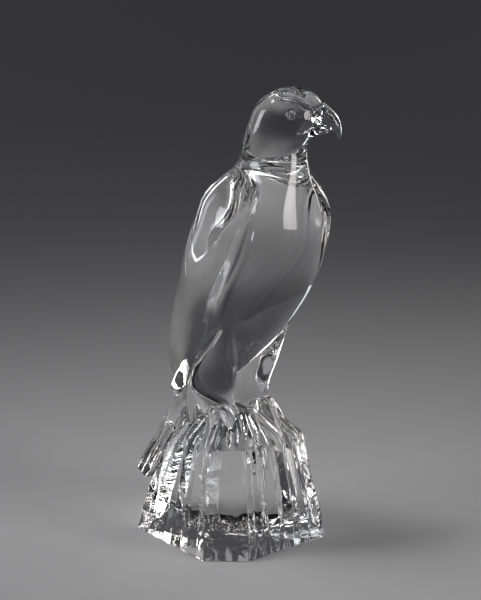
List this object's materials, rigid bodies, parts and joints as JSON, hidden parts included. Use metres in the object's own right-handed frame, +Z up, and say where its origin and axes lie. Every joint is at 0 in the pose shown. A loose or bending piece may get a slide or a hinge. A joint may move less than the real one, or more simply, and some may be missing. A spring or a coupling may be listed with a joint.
{
  "type": "glass eagle sculpture",
  "caption": "Standing eagle with folded wings and turned head on a faceted rock, cast as one piece of clear glass.",
  "frame": {"origin": "middle of the rock's flat underside", "axes": "+Z up, the bird's breast faces -Y and its head turns towards +X"},
  "size_m": [0.0869, 0.1355, 0.265],
  "materials": {
    "clear_crystal": "cast and polished, clear"
  },
  "bodies": {
    "root": {"eagle": "clear_crystal"}
  },
  "joints": []
}
